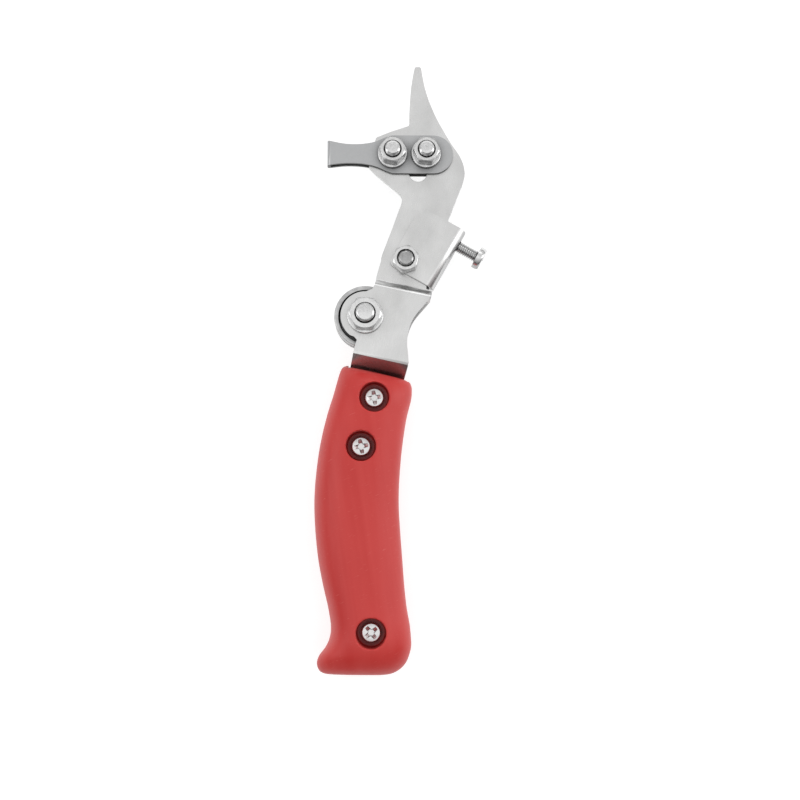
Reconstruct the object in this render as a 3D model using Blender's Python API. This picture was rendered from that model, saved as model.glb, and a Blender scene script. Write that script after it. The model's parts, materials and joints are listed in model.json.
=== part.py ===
"""Girdling knife: a hooked head with a folded blade on a forked neck, a grooved
roller in the fork, an adjusting screw in a clip, and a two-shell plastic handle.

It lies on the back of its handle. Origin: centre of the flat land on the back of
the handle. +X to the right, +Y along the handle towards the hooked tooth, +Z up,
away from the surface it lies on. Every outline below is in millimetres.
"""
import math

import bmesh
import bpy
from mathutils import Matrix, Vector

# ---------------------------------------------------------------- driving sizes
MM = 0.001
HANDLE_HALF = 11.0          # parting plane to the flat back land
MID_Z = HANDLE_HALF         # height of the parting plane above the surface
GAP = 0.25                  # room kept between pieces that rest on each other
RUNNING = 0.10              # radial room between a shaft and its bore
ROUND = 24                  # sides of a small round piece

HEAD_HALF = 1.0             # half the head plate's thickness
SHEET = 1.5                 # neck and clip sheet
BLADE_SHEET = 1.0
NECK_INNER = HEAD_HALF + GAP
NECK_OUTER = NECK_INNER + SHEET
CLIP_OUTER = NECK_OUTER + GAP + SHEET
EAR_INNER = 5.1             # where the fork opens for the roller
EAR_OUTER = EAR_INNER + SHEET
TANG_INNER = 0.5 * GAP      # where the two tangs meet in the handle
BLADE_OUTER = HEAD_HALF + GAP + BLADE_SHEET

PIVOT = (16.1, 91.7)        # head pivot bolt
AXLE = (2.65, 72.75)         # roller axle bolt
BLADE_BOLTS = {"left": (11.7, 128.9), "right": (23.1, 128.9)}
HANDLE_SCREWS = {"upper": (5.7, 45.4), "middle": (1.4, 29.3), "lower": (4.8, -31.2)}

NECK_ANGLE = math.radians(12.5)     # lean of the neck from +Y towards +X
SPINE_ANGLE = math.radians(29.2)    # lean of the clip's spine
SPINE_FOOT = (25.3, 81.9)           # lower end of the clip's outer spine line
SPINE_LENGTH = 22.8
CLIP_WIDTH = 17.4
CLIP_BEND = 3.0                     # outer radius of the clip's bends
SCREW_ALONG = 17.9                  # adjusting screw, measured up the spine

ROLLER_R = 10.4
ROLLER_HALF = 4.5
BUSH_R = 4.5

M4, M5, M6 = 4.0, 5.0, 6.0
NUT_M5 = (8.0, 4.7)                 # across flats, height
NUT_M6 = (10.0, 5.0)
HEAD_M5 = (8.0, 3.5)
HEAD_M6 = (10.0, 3.8)
# How far each nut is turned from having a flat towards +X, in degrees.
NUT_TURNS = {"left": 18.0, "right": 24.0, "pivot": -13.0, "axle": 27.0}
BLADE_WASHER_R = 5.0
WASHER_T = 1.0


# ---------------------------------------------------------------- small helpers
def clear_scene():
    for item in list(bpy.data.objects):
        bpy.data.objects.remove(item, do_unlink=True)


def material(name, colour, roughness, metallic):
    made = bpy.data.materials.new(name)
    made.use_nodes = True
    shader = made.node_tree.nodes["Principled BSDF"]
    shader.inputs["Base Color"].default_value = (*colour, 1.0)
    shader.inputs["Roughness"].default_value = roughness
    shader.inputs["Metallic"].default_value = metallic
    return made


def finish_object(name, mesh_data, finish, at=(0.0, 0.0), smooth=None, turn=None):
    """Turn a bmesh in millimetres into an object in metres, its origin at `at`."""
    bmesh.ops.recalc_face_normals(mesh_data, faces=mesh_data.faces)
    mesh_data.transform(Matrix.Scale(MM, 4))
    mesh = bpy.data.meshes.new(name)
    mesh_data.to_mesh(mesh)
    mesh_data.free()
    if smooth is not None:
        mesh.shade_smooth()
        mesh.set_sharp_from_angle(angle=math.radians(smooth))
    item = bpy.data.objects.new(name, mesh)
    bpy.context.scene.collection.objects.link(item)
    item.location = (at[0] * MM, at[1] * MM, MID_Z * MM)
    if turn is not None:
        item.rotation_euler = turn
    if finish is not None:
        mesh.materials.append(finish)
    return item


def arc(centre, radius, start, end, steps):
    """Points on a circle from angle start to angle end, in degrees."""
    points = []
    for step in range(steps + 1):
        angle = math.radians(start + (end - start) * step / steps)
        points.append((centre[0] + radius * math.cos(angle), centre[1] + radius * math.sin(angle)))
    return points


def smooth_curve(points, steps=3):
    """Catmull-Rom curve through the points, with `steps` pieces between each two."""
    result = []
    last = len(points) - 1
    for index in range(last):
        around = [points[min(max(index + shift, 0), last)] for shift in (-1, 0, 1, 2)]
        for step in range(steps):
            share = step / steps
            spot = []
            for a, b, c, d in zip(*around):
                cubic = (-a + 3.0 * b - 3.0 * c + d) * share ** 3
                square = (2.0 * a - 5.0 * b + 4.0 * c - d) * share ** 2
                spot.append(0.5 * (2.0 * b + (c - a) * share + square + cubic))
            result.append(tuple(spot))
    result.append(tuple(points[-1]))
    return result


def rounded(corners, steps=5):
    """Closed outline from (x, y) or (x, y, fillet radius) corners."""
    points = []
    count = len(corners)
    for index, corner in enumerate(corners):
        here = Vector(corner[:2])
        if len(corner) == 2:
            points.append(tuple(here))
            continue
        before = (Vector(corners[index - 1][:2]) - here).normalized()
        after = (Vector(corners[(index + 1) % count][:2]) - here).normalized()
        half = 0.5 * before.angle(after)
        radius = corner[2]
        centre = here + (before + after).normalized() * (radius / math.sin(half))
        first = here + before * (radius / math.tan(half)) - centre
        last = here + after * (radius / math.tan(half)) - centre
        sweep = first.angle_signed(last)
        for step in range(steps + 1):
            points.append(tuple(centre + turned_by(first, -sweep * step / steps)))
    return points


def turned_by(spoke, angle):
    cosine, sine = math.cos(angle), math.sin(angle)
    return Vector((spoke.x * cosine - spoke.y * sine, spoke.x * sine + spoke.y * cosine))


def plate_mesh(outline, low, high):
    """A flat plate: the outline drawn at `low` and extruded to `high`."""
    made = bmesh.new()
    base = made.faces.new([made.verts.new((x, y, low)) for x, y in outline])
    grown = bmesh.ops.extrude_face_region(made, geom=[base])
    lifted = [part for part in grown["geom"] if isinstance(part, bmesh.types.BMVert)]
    bmesh.ops.translate(made, verts=lifted, vec=(0.0, 0.0, high - low))
    return made


def relative(outline, origin):
    return [(x - origin[0], y - origin[1]) for x, y in outline]


def hexagon_radius(across_flats, angle):
    sector = math.pi / 3.0
    return 0.5 * across_flats / math.cos((angle + 0.5 * sector) % sector - 0.5 * sector)


def turned_mesh(profile, sides=ROUND, ring=False, across_flats=None):
    """Turn a profile of (radius, z) or (radius, z, "hex") round Z.

    A hex station follows the hexagon but never leaves its radius, which gives the
    chamfer of a nut. With ring=True the profile closes on itself round a bore.
    """
    made = bmesh.new()
    loops = []
    for station in profile:
        radius, height = station[:2]
        if radius == 0.0:
            loops.append([made.verts.new((0.0, 0.0, height))])
            continue
        loop = []
        for side in range(sides):
            angle = 2.0 * math.pi * side / sides
            reach = radius
            if len(station) == 3:
                reach = min(radius, hexagon_radius(across_flats, angle))
            loop.append(made.verts.new((reach * math.cos(angle), reach * math.sin(angle), height)))
        loops.append(loop)
    pairs = list(zip(loops, loops[1:]))
    if ring:
        pairs.append((loops[-1], loops[0]))
    for lower, upper in pairs:
        for side in range(sides):
            follow = (side + 1) % sides
            if len(lower) == 1:
                made.faces.new((lower[0], upper[side], upper[follow]))
            elif len(upper) == 1:
                made.faces.new((lower[side], lower[follow], upper[0]))
            else:
                made.faces.new((lower[side], lower[follow], upper[follow], upper[side]))
    return made


def cutter(name, mesh_data, at=(0.0, 0.0), turn=None):
    tool = finish_object(name, mesh_data, None, at, turn=turn)
    tool.hide_render = True
    tool.display_type = "WIRE"
    return tool


def boolean(item, tool, operation="DIFFERENCE"):
    change = item.modifiers.new(tool.name, "BOOLEAN")
    change.operation = operation
    change.solver = "EXACT"
    change.object = tool


def drill(name, at, radius, low, high, sides=ROUND):
    profile = [(0.0, low), (radius, low), (radius, high), (0.0, high)]
    return cutter(name, turned_mesh(profile, sides), at)


# ---------------------------------------------------------------- fasteners
def hex_bolt(name, at, diameter, head, head_top, end, finish):
    """Hex head at the back, its bearing face at -head_top, its end at +end."""
    flats, height = head
    corner = flats / math.sqrt(3.0)
    chamfer = 0.35
    profile = [
        (0.0, -head_top - height),
        (0.5 * flats - 0.2, -head_top - height),
        (corner, -head_top - height + 0.7, "hex"),
        (corner, -head_top, "hex"),
        (0.5 * diameter, -head_top),
        (0.5 * diameter, end - 2.0 * chamfer),
        (0.5 * diameter - chamfer, end),
        (0.0, end),
    ]
    return finish_object(name, turned_mesh(profile, across_flats=flats), finish, at, smooth=25)


def hex_nut(name, at, diameter, nut, seat, degrees, finish):
    flats, height = nut
    corner = flats / math.sqrt(3.0)
    rim = 0.5 * flats - 0.1
    bore = 0.5 * diameter + RUNNING
    profile = [
        (bore, seat),
        (corner, seat, "hex"),
        (corner, seat + height - 0.7, "hex"),
        (rim, seat + height),
        (bore + 0.3, seat + height),
        (bore, seat + height - 0.4),
    ]
    made = turned_mesh(profile, ring=True, across_flats=flats)
    turn = (0.0, 0.0, math.radians(degrees))
    return finish_object(name, made, finish, at, smooth=25, turn=turn)


def washer(name, at, outer, bore, low, high, finish):
    edge = 0.15
    profile = [
        (bore, low), (outer - edge, low), (outer, low + edge),
        (outer, high - edge), (outer - edge, high), (bore, high),
    ]
    return finish_object(name, turned_mesh(profile, ring=True), finish, at, smooth=30)


def cross_recess(name, at, across, arm, top, depth, turn=None):
    """The plus-shaped driver recess of a screw head, narrower at its floor."""
    made = bmesh.new()
    loops = []
    for height, shrink in ((top - depth, 0.55), (top + 0.5, 1.0)):
        long, short = 0.5 * across * shrink, 0.5 * arm * (0.5 + 0.5 * shrink)
        corners = []
        for quarter in range(4):
            angle = 0.5 * math.pi * quarter
            for x, y in ((long, -short), (long, short), (short, short)):
                spoke = turned_by(Vector((x, y)), angle)
                corners.append(made.verts.new((spoke.x, spoke.y, height)))
        loops.append(corners)
    made.faces.new(loops[0])
    made.faces.new(loops[1])
    count = len(loops[0])
    for index in range(count):
        follow = (index + 1) % count
        made.faces.new((loops[0][index], loops[0][follow], loops[1][follow], loops[1][index]))
    return cutter(name, made, at, turn)


# ---------------------------------------------------------------- head
def head_outline():
    """Round lower end on the pivot, hooked tooth at the top, jaw at the left."""
    lean = 21.2
    lower_end = arc(PIVOT, 8.3, 160.5, 360.0 - lean, 18)
    right_side = [
        (33.0, 112.1), (34.6, 116.2), (35.7, 119.0), (36.3, 121.8), (36.0, 125.0),
        (34.9, 128.0), (33.5, 130.3), (31.7, 132.9), (29.3, 137.0), (26.9, 141.4),
        (25.0, 145.7), (23.8, 148.9), (22.8, 152.3), (22.1, 155.6), (21.5, 159.3),
    ]
    tip = [(21.1, 159.7), (19.7, 159.7), (19.3, 159.3)]
    tooth_left = [(18.7, 156.3), (18.1, 152.3), (17.7, 147.5), (17.5, 143.0), (17.5, 139.8)]
    jaw = [(17.3, 139.2), (16.9, 138.9), (10.9, 136.9), (6.1, 134.9, 0.8), (3.7, 124.5, 0.6)]
    throat = [(6.1, 122.1), (8.5, 120.0), (13.7, 115.7), (14.7, 114.5), (15.0, 113.1), (14.4, 110.8)]
    tooth = smooth_curve(right_side) + tip + smooth_curve(tooth_left, 2)
    return rounded(lower_end + tooth + jaw + smooth_curve(throat))


def make_head_plate(finish):
    made = plate_mesh(relative(head_outline(), PIVOT), -HEAD_HALF, HEAD_HALF)
    head = finish_object("head_plate", made, finish, PIVOT)
    boolean(head, drill("head_pivot_bore", PIVOT, 0.5 * M5 + RUNNING, -2.0, 2.0))
    boolean(head, drill("head_round_hole", (20.4, 122.6), 3.0, -2.0, 2.0))
    for side, at in BLADE_BOLTS.items():
        boolean(head, drill("head_bolt_bore_" + side, at, 0.5 * M5 + RUNNING, -2.0, 2.0))
    return head


def channel_profile(outer, thickness, bend, reach, steps=5):
    """A channel seen end on, as (depth, z): closed at depth 0, open at -reach."""
    inner = outer - thickness
    inner_bend = max(bend - thickness, 0.2)
    points = [(-reach, outer)]
    points += arc((-bend, outer - bend), bend, 90, 0, steps)
    points += arc((-bend, bend - outer), bend, 0, -90, steps)
    points.append((-reach, -outer))
    points.append((-reach, -inner))
    corner = thickness + inner_bend
    points += arc((-corner, inner_bend - inner), inner_bend, -90, 0, steps)
    points += arc((-corner, inner - inner_bend), inner_bend, 0, 90, steps)
    points.append((-reach, inner))
    return points


def blade_outline():
    centre_y = 128.75
    half = 6.55
    end_x = 25.7
    right_end = arc((end_x, centre_y), half, -90, 90, 16)
    upper = [
        (11.6, 135.3), (9.5, 134.7), (7.1, 133.6), (4.7, 132.8), (1.3, 132.3),
        (-2.0, 132.2), (-5.4, 132.5), (-8.8, 133.2), (-11.5, 133.8),
    ]
    lower = [
        (-11.5, 124.8), (-8.8, 125.2), (-5.4, 125.6), (-2.0, 125.7), (1.4, 125.5),
        (4.3, 125.0), (6.9, 124.2), (9.3, 123.1), (11.6, 122.2),
    ]
    return smooth_curve(lower, 2) + right_end + smooth_curve(upper, 2)


def make_blade(finish):
    """A strip folded double round the end of the jaw, cut to the blade's outline."""
    fold_x = -10.4
    strip_y = 118.0
    strip_width = 24.0
    made = bmesh.new()
    profile = channel_profile(BLADE_OUTER, BLADE_SHEET, 1.2, 45.0)
    ring = [made.verts.new((fold_x - depth, strip_y, z)) for depth, z in profile]
    base = made.faces.new(ring)
    grown = bmesh.ops.extrude_face_region(made, geom=[base])
    moved = [part for part in grown["geom"] if isinstance(part, bmesh.types.BMVert)]
    bmesh.ops.translate(made, verts=moved, vec=(0.0, strip_width, 0.0))
    made.transform(Matrix.Translation((-PIVOT[0], -PIVOT[1], 0.0)))
    blade = finish_object("u_blade", made, finish, PIVOT)
    trim = plate_mesh(blade_outline(), -6.0, 6.0)
    boolean(blade, cutter("blade_trim", trim), "INTERSECT")
    for side, at in BLADE_BOLTS.items():
        boolean(blade, drill("blade_bore_" + side, at, 0.5 * M5 + RUNNING, -6.0, 6.0))
    return blade


def make_blade_fasteners(finish):
    front_seat = BLADE_OUTER + GAP
    nut_seat = front_seat + WASHER_T + GAP
    bolt_end = nut_seat + NUT_M5[1] + 2.0
    bore = 0.5 * M5 + RUNNING
    for side, at in BLADE_BOLTS.items():
        high = front_seat + WASHER_T
        washer("blade_washer_front_" + side, at, BLADE_WASHER_R, bore, front_seat, high, finish)
        washer("blade_washer_rear_" + side, at, BLADE_WASHER_R, bore, -high, -front_seat, finish)
        hex_nut("blade_nut_" + side, at, M5, NUT_M5, nut_seat, NUT_TURNS[side], finish)
        hex_bolt("blade_bolt_" + side, at, M5, HEAD_M5, nut_seat, bolt_end, finish)


# ---------------------------------------------------------------- neck
def neck_outline():
    """Tang, riser, round ear about the axle, then the arm that holds the head."""
    tang_left = [(-4.6, 20.7, 1.5), (-6.2, 28.0), (-4.7, 41.9), (-2.6, 54.8), (-1.2, 60.8)]
    notch = [(-0.5, 63.7), (-0.1, 64.7), (-1.1, 65.8)]
    ear = arc(AXLE, 8.2, 232, 88, 20)
    arm_left = [(5.0, 81.8), (5.8, 83.2), (6.3, 86.6), (8.5, 94.3), (14.2, 110.2, 0.5)]
    arm_right = [(21.8, 108.9, 2.5), (23.2, 99.2), (23.2, 86.0), (23.1, 82.5)]
    corner = [(23.9, 82.0), (24.6, 81.3), (24.8, 80.4), (24.4, 79.1), (22.1, 76.4), (19.8, 73.7)]
    right_edge = [(18.2, 71.1), (17.2, 68.2), (16.7, 65.4), (16.6, 63.0), (16.9, 60.0), (17.1, 57.2)]
    tang_right = [(15.3, 50.8), (12.2, 41.9), (8.4, 30.0), (5.9, 20.7, 1.5)]
    upper = arm_left + arm_right + smooth_curve(corner + right_edge, 2)
    return rounded(tang_left + notch + ear + upper + tang_right)


def bend_table():
    """Distance up the neck from the axle, and the sheet's middle height there."""
    tang = TANG_INNER + 0.5 * SHEET
    ear = EAR_INNER + 0.5 * SHEET
    arm = NECK_INNER + 0.5 * SHEET
    soft = 0.35
    bends = []
    for start, end, low, high in ((-17.9, -12.3, tang, ear), (10.7, 13.15, ear, arm)):
        slope = (high - low) / (end - start)
        ease = 0.5 * soft * slope
        bends += [(start - soft, low), (start + soft, low + ease)]
        bends += [(end - soft, high - ease), (end + soft, high)]
    return bends


def height_at(distance, bends):
    if distance <= bends[0][0]:
        return bends[0][1]
    for (before, low), (after, high) in zip(bends, bends[1:]):
        if distance <= after:
            return low + (high - low) * (distance - before) / (after - before)
    return bends[-1][1]


def make_bracket(name, side, finish):
    """One half of the fork: side is 1 for the front plate, -1 for the rear one."""
    along = Vector((math.sin(NECK_ANGLE), math.cos(NECK_ANGLE), 0.0))
    made = bmesh.new()
    outline = neck_outline()
    made.faces.new([made.verts.new((x, y, 0.0)) for x, y in relative(outline, AXLE)])
    bends = bend_table()
    for distance, _ in bends:
        everything = list(made.verts) + list(made.edges) + list(made.faces)
        bmesh.ops.bisect_plane(made, geom=everything, plane_co=along * distance, plane_no=along)
    for vert in made.verts:
        vert.co.z = side * height_at(vert.co.dot(along), bends)
    bracket = finish_object(name, made, finish, AXLE)
    thick = bracket.modifiers.new("sheet", "SOLIDIFY")
    thick.thickness = SHEET * MM
    thick.offset = 0.0
    thick.use_even_offset = True
    bores = (
        ("axle", AXLE, 0.5 * M6 + RUNNING),
        ("pivot", PIVOT, 0.5 * M5 + RUNNING),
        ("upper", HANDLE_SCREWS["upper"], 2.4),
        ("middle", HANDLE_SCREWS["middle"], 2.4),
    )
    for label, at, radius in bores:
        boolean(bracket, drill(name + "_" + label + "_bore", at, radius, -9.0, 9.0))
    return bracket


def spine_frame():
    """Directions along and out of the clip's spine."""
    along = Vector((math.sin(SPINE_ANGLE), math.cos(SPINE_ANGLE), 0.0))
    out = Vector((math.cos(SPINE_ANGLE), -math.sin(SPINE_ANGLE), 0.0))
    return along, out


def make_clip(finish):
    """A channel wrapped round both neck plates, closed by its spine on the right."""
    along, out = spine_frame()
    foot = Vector((SPINE_FOOT[0], SPINE_FOOT[1], 0.0))
    made = bmesh.new()
    profile = channel_profile(CLIP_OUTER, SHEET, CLIP_BEND, 30.0)
    start = foot - along
    ring = [made.verts.new(start + out * depth + Vector((0.0, 0.0, z))) for depth, z in profile]
    base = made.faces.new(ring)
    grown = bmesh.ops.extrude_face_region(made, geom=[base])
    moved = [part for part in grown["geom"] if isinstance(part, bmesh.types.BMVert)]
    bmesh.ops.translate(made, verts=moved, vec=along * (SPINE_LENGTH + 2.0))
    made.transform(Matrix.Translation((-PIVOT[0], -PIVOT[1], 0.0)))
    clip = finish_object("adjuster_clip", made, finish, PIVOT)
    local = rounded([
        (2.0, 0.4), (2.0, SPINE_LENGTH),
        (-CLIP_WIDTH, SPINE_LENGTH, 6.0), (-CLIP_WIDTH, 0.4, 2.0),
    ])
    outline = []
    for depth, height in local:
        spot = foot + out * depth + along * height
        outline.append((spot.x, spot.y))
    boolean(clip, cutter("clip_trim", plate_mesh(outline, -8.0, 8.0)), "INTERSECT")
    boolean(clip, drill("clip_pivot_bore", PIVOT, 0.5 * M5 + RUNNING, -9.0, 9.0))
    spot = foot + along * SCREW_ALONG - out * 4.0
    bore = turned_mesh([(0.0, 0.0), (2.1, 0.0), (2.1, 8.0), (0.0, 8.0)])
    turn = (0.0, 0.5 * math.pi, -SPINE_ANGLE)
    boolean(clip, cutter("clip_thread_bore", bore, (spot.x, spot.y), turn))
    return clip


def make_adjusting_screw(finish):
    """M4 pan-head screw along the spine's normal; its tip stops the head plate."""
    along, out = spine_frame()
    spot = Vector((SPINE_FOOT[0], SPINE_FOOT[1], 0.0)) + along * SCREW_ALONG
    tip, under_head, face = -5.7, 7.1, 9.8
    profile = [
        (0.0, tip), (0.7, tip), (0.5 * M4, tip + 1.2), (0.5 * M4, under_head),
        (3.9, under_head), (4.0, under_head + 0.9), (3.6, face - 0.7), (2.7, face - 0.2),
        (1.6, face), (0.0, face),
    ]
    turn = (0.0, 0.5 * math.pi, -SPINE_ANGLE)
    at = (spot.x, spot.y)
    screw = finish_object("adjusting_screw", turned_mesh(profile), finish, at, smooth=35, turn=turn)
    boolean(screw, cross_recess("adjuster_recess", at, 4.6, 1.1, face, 1.5, turn))
    return screw


def make_pivot_fasteners(finish):
    seat = CLIP_OUTER + GAP
    end = seat + NUT_M5[1] + 0.5
    hex_bolt("pivot_bolt", PIVOT, M5, HEAD_M5, seat, end, finish)
    hex_nut("pivot_nut", PIVOT, M5, NUT_M5, seat, NUT_TURNS["pivot"], finish)


# ---------------------------------------------------------------- roller
def make_roller(finish, hardware):
    groove, lip, edge = 2.0, 1.6, 0.4
    half = ROLLER_HALF
    bore = BUSH_R + RUNNING
    hub = 6.6
    profile = [
        (bore, -half + 0.4), (hub, -half + 0.4), (hub + 0.4, -half), (ROLLER_R - edge, -half),
        (ROLLER_R, -half + edge), (ROLLER_R, -half + lip), (ROLLER_R - groove, -half + lip + 0.8),
        (ROLLER_R - groove, half - lip - 0.8), (ROLLER_R, half - lip), (ROLLER_R, half - edge),
        (ROLLER_R - edge, half), (hub + 0.4, half), (hub, half - 0.4), (bore, half - 0.4),
    ]
    finish_object("roller", turned_mesh(profile, 48, ring=True), finish, AXLE, smooth=30)
    reach = EAR_INNER - GAP
    inner = 0.5 * M6 + RUNNING
    sleeve = [(inner, -reach), (BUSH_R, -reach), (BUSH_R, reach), (inner, reach)]
    finish_object("roller_bush", turned_mesh(sleeve, 32, ring=True), hardware, AXLE, smooth=30)
    seat = EAR_OUTER + GAP
    washer("axle_washer", AXLE, 6.0, inner, seat, seat + WASHER_T, hardware)
    nut_seat = seat + WASHER_T + GAP
    hex_nut("axle_nut", AXLE, M6, NUT_M6, nut_seat, NUT_TURNS["axle"], hardware)
    hex_bolt("axle_bolt", AXLE, M6, HEAD_M6, seat, nut_seat + NUT_M6[1] + 2.2, hardware)


# ---------------------------------------------------------------- handle
# Stations up the handle: left x, left y, right x, right y, share of full height.
HANDLE_STATIONS = [
    (-7.6, -45.5, 7.6, -45.8, 0.0),
    (-11.0, -44.9, 11.6, -45.1, 0.40),
    (-12.5, -43.7, 14.4, -43.6, 0.60),
    (-13.1, -41.6, 16.3, -41.5, 0.76),
    (-12.4, -39.3, 17.4, -38.9, 0.89),
    (-10.5, -36.8, 18.0, -36.2, 0.965),
    (-9.1, -34.0, 17.9, -33.1, 1.0),
    (-8.5, -30.0, 17.5, -29.1, 1.0),
    (-9.4, -23.8, 16.5, -23.5, 1.0),
    (-11.2, -16.1, 15.7, -16.1, 1.0),
    (-12.8, -7.7, 15.1, -8.1, 1.0),
    (-13.8, 1.5, 14.4, 1.1, 1.0),
    (-14.2, 11.2, 13.9, 10.7, 1.0),
    (-13.6, 21.1, 14.2, 20.1, 1.0),
    (-12.2, 30.9, 15.1, 29.8, 1.0),
    (-10.1, 39.9, 16.5, 38.9, 0.99),
    (-8.0, 46.8, 18.0, 44.9, 0.96),
    (-6.8, 51.2, 18.3, 48.3, 0.89),
    (-5.9, 54.2, 18.0, 50.2, 0.76),
    (-5.0, 56.0, 17.2, 51.3, 0.56),
    (-3.3, 56.9, 15.5, 52.1, 0.0),
]
CROWN = 11.6                # full height of the crown; the back is cut flat at HANDLE_HALF
CROWN_SHAPE = 2.35          # 2 is an ellipse, more is boxier
CROWN_SKEW = 2.0            # the crown's ridge lies this far left of the middle
PARTING = 0.5 * GAP


def half_shell(name, side, limit, finish, columns=18):
    """Loft one crowned half of the handle; the parting face is flat."""
    made = bmesh.new()
    rows = []
    for left_x, left_y, right_x, right_y, share in smooth_curve(HANDLE_STATIONS, 2):
        left = Vector((left_x, left_y))
        right = Vector((right_x, right_y))
        middle = 0.5 * (left + right)
        reach = 0.5 * (right - left)
        row = []
        for column in range(columns + 1):
            angle = math.pi * (1.0 - column / columns)
            cosine = math.cos(angle)
            across = math.copysign(abs(cosine) ** (2.0 / CROWN_SHAPE), cosine)
            lift = max(math.sin(angle), 0.0) ** (2.0 / CROWN_SHAPE) * max(share, 0.0)
            spot = middle + reach * across
            height = min(CROWN * lift, limit)
            row.append((spot.x - CROWN_SKEW * lift ** 4, spot.y, side * (PARTING + height)))
        rows.append([made.verts.new(spot) for spot in row])
    for lower, upper in zip(rows, rows[1:]):
        for column in range(columns):
            made.faces.new((lower[column], lower[column + 1], upper[column + 1], upper[column]))
    left_edge = [row[0] for row in rows[1:-1]]
    right_edge = [row[-1] for row in rows[1:-1]]
    made.faces.new(rows[0] + right_edge + rows[-1][::-1] + left_edge[::-1])
    return finish_object(name, made, finish, smooth=40)


def tang_pockets():
    """Room for the two tangs, and a deeper mouth where their risers start."""
    outline = [
        (-6.9, 19.5), (-7.2, 28.0), (-5.5, 41.9), (-1.9, 59.8),
        (17.6, 59.8), (16.3, 50.8), (13.1, 41.9), (9.3, 30.0), (7.1, 19.5),
    ]
    mouth = [(-3.3, 54.6), (-2.0, 60.5), (18.0, 60.5), (16.9, 50.8)]
    depth = TANG_INNER + SHEET + GAP
    deeper = depth + 1.5
    slot = cutter("tang_pocket", plate_mesh(outline, -depth, depth))
    return slot, cutter("tang_mouth", plate_mesh(mouth, -deeper, deeper))


def make_handle(finish, hardware):
    head_seat = 5.0
    recess_r = 4.85
    shank_r = 1.75
    front = half_shell("handle_front", 1.0, CROWN, finish)
    rear = half_shell("handle_rear", -1.0, HANDLE_HALF - PARTING, finish)
    pockets = tang_pockets()
    hollow = plate_mesh(rounded([
        (-7.2, -22.9, 3.0), (12.3, -22.9, 3.0), (10.3, 12.2, 3.0), (-10.8, 12.2, 3.0),
    ]), -6.5, 6.5)
    core = cutter("grip_hollow", hollow)
    for half in (front, rear):
        for hollow_tool in (*pockets, core):
            boolean(half, hollow_tool)
    for label, at in HANDLE_SCREWS.items():
        clearance_r = shank_r + 0.35
        recess = [
            (0.0, -1.0), (clearance_r, -1.0), (clearance_r, head_seat), (recess_r, head_seat),
            (recess_r + 0.15, 14.0), (0.0, 14.0),
        ]
        boolean(front, cutter("recess_" + label, turned_mesh(recess, 32), at))
        boolean(rear, drill("pilot_" + label, at, shank_r + RUNNING, -8.2, 1.0))
        make_handle_screw(label, at, head_seat + GAP, shank_r, hardware)


def make_handle_screw(label, at, seat, shank_r, finish):
    face = seat + 2.1
    profile = [
        (0.0, -7.8), (0.6, -7.8), (shank_r, -6.2), (shank_r, seat), (3.1, seat),
        (3.25, seat + 0.6), (3.05, face - 0.6), (2.3, face - 0.15), (1.2, face), (0.0, face),
    ]
    screw = finish_object("handle_screw_" + label, turned_mesh(profile), finish, at, smooth=35)
    boolean(screw, cross_recess("handle_recess_" + label, at, 4.0, 0.9, face, 1.2))


# ---------------------------------------------------------------- assembly
def main():
    clear_scene()
    stainless = material("stainless_plate", (0.78, 0.78, 0.77), 0.32, 1.0)
    blade_steel = material("blade_steel", (0.55, 0.56, 0.57), 0.38, 1.0)
    hardware = material("plated_hardware", (0.72, 0.72, 0.70), 0.25, 1.0)
    roller_steel = material("roller_steel", (0.50, 0.50, 0.50), 0.35, 1.0)
    red_plastic = material("red_plastic", (0.55, 0.04, 0.03), 0.45, 0.0)
    make_head_plate(stainless)
    make_blade(blade_steel)
    make_blade_fasteners(hardware)
    make_bracket("bracket_front", 1.0, stainless)
    make_bracket("bracket_rear", -1.0, stainless)
    make_clip(stainless)
    make_adjusting_screw(hardware)
    make_pivot_fasteners(hardware)
    make_roller(roller_steel, hardware)
    make_handle(red_plastic, hardware)


main()
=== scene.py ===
import json
import math

import bmesh
import bpy
from mathutils import Matrix, Vector


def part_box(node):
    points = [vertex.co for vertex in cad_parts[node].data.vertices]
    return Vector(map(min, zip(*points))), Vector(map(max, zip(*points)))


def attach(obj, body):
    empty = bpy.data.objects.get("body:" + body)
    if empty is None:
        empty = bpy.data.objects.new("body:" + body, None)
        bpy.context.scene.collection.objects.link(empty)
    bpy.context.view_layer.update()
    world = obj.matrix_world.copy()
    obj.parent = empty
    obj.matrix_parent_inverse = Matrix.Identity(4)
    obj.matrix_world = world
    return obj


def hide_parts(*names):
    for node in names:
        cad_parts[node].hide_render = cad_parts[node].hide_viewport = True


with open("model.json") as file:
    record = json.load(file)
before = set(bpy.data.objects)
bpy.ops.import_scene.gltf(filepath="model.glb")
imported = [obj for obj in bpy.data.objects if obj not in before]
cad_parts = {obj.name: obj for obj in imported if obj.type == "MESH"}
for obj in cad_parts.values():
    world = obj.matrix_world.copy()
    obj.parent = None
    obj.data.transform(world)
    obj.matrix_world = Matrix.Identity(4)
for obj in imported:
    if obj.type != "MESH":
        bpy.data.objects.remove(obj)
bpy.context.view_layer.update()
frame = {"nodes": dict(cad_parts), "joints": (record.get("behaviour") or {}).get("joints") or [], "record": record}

# Everything below is worked out in millimetres and scaled once, when a piece is placed.
MM = 0.001
MID_Z = 11.0                            # the handle's parting plane, above the floor
CAMERA_AT = (7.8, 9.1, 420.0 + MID_Z)
CAMERA_AIM = (14.30, 45.22, MID_Z)
LENS = 56.54
SENSOR = 36.0

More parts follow.
